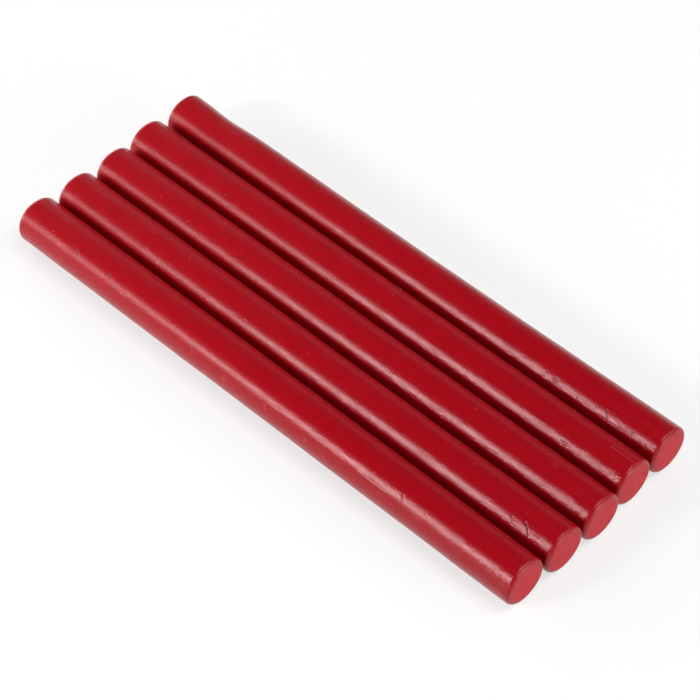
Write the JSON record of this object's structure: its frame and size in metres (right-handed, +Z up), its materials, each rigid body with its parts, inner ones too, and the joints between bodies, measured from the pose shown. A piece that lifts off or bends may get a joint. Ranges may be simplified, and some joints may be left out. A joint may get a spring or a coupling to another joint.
{
  "type": "sealing wax stick set",
  "caption": "Loose round sticks of red sealing wax with flat, softly rounded ends, laid side by side; each is melted to drip a wax seal onto paper.",
  "frame": {"origin": "on the desk, under the middle of the row of sticks", "axes": "+X along the sticks, towards their near ends; +Y across the row, from the near stick to the far one; +Z up from the desk"},
  "size_m": [0.1362, 0.0524, 0.01],
  "materials": {
    "red_wax": "cast red wax with a satin sheen"
  },
  "bodies": {
    "wax_stick_1": {"wax_stick_1": "red_wax"},
    "wax_stick_2": {"wax_stick_2": "red_wax"},
    "wax_stick_3": {"wax_stick_3": "red_wax"},
    "wax_stick_4": {"wax_stick_4": "red_wax"},
    "wax_stick_5": {"wax_stick_5": "red_wax"}
  },
  "joints": [
    {"name": "lift_stick_1", "type": "slide", "parent": "wax_stick_3", "child": "wax_stick_1", "axis": [0, 0, 1], "range_m": [0, 0.03]},
    {"name": "lift_stick_2", "type": "slide", "parent": "wax_stick_3", "child": "wax_stick_2", "axis": [0, 0, 1], "range_m": [0, 0.03]},
    {"name": "lift_stick_4", "type": "slide", "parent": "wax_stick_3", "child": "wax_stick_4", "axis": [0, 0, 1], "range_m": [0, 0.03]},
    {"name": "lift_stick_5", "type": "slide", "parent": "wax_stick_3", "child": "wax_stick_5", "axis": [0, 0, 1], "range_m": [0, 0.03]}
  ]
}
